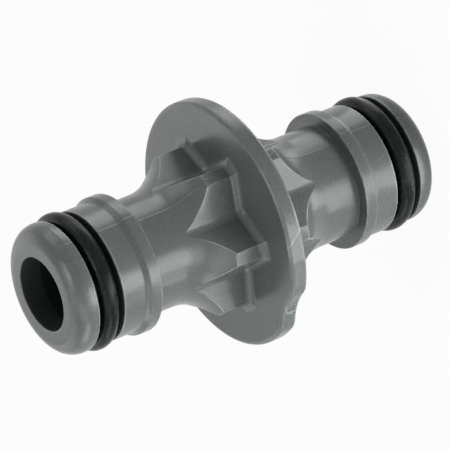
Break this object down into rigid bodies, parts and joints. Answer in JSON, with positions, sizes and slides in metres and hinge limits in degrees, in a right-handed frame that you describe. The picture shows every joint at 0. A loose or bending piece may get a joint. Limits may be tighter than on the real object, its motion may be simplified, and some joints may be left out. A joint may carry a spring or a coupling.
{
  "type": "double-ended hose coupling plug",
  "caption": "Double-ended plug that joins two garden hoses through their snap connectors, with a sealing ring at each end and a ribbed flange in the middle.",
  "frame": {"origin": "centre of the lower tip's end face, on the axis", "axes": "+Z along the axis from the lower tip to the upper tip; +X towards the gate scoop in the flange rim; the mould parting line lies at +Y and -Y"},
  "size_m": [0.03, 0.0302, 0.0515],
  "materials": {
    "body_plastic": "satin grey moulded plastic",
    "ring_rubber": "greased black rubber"
  },
  "bodies": {
    "root": {"coupler_body": "body_plastic", "o_ring_upper": "ring_rubber", "o_ring_lower": "ring_rubber"}
  },
  "joints": []
}
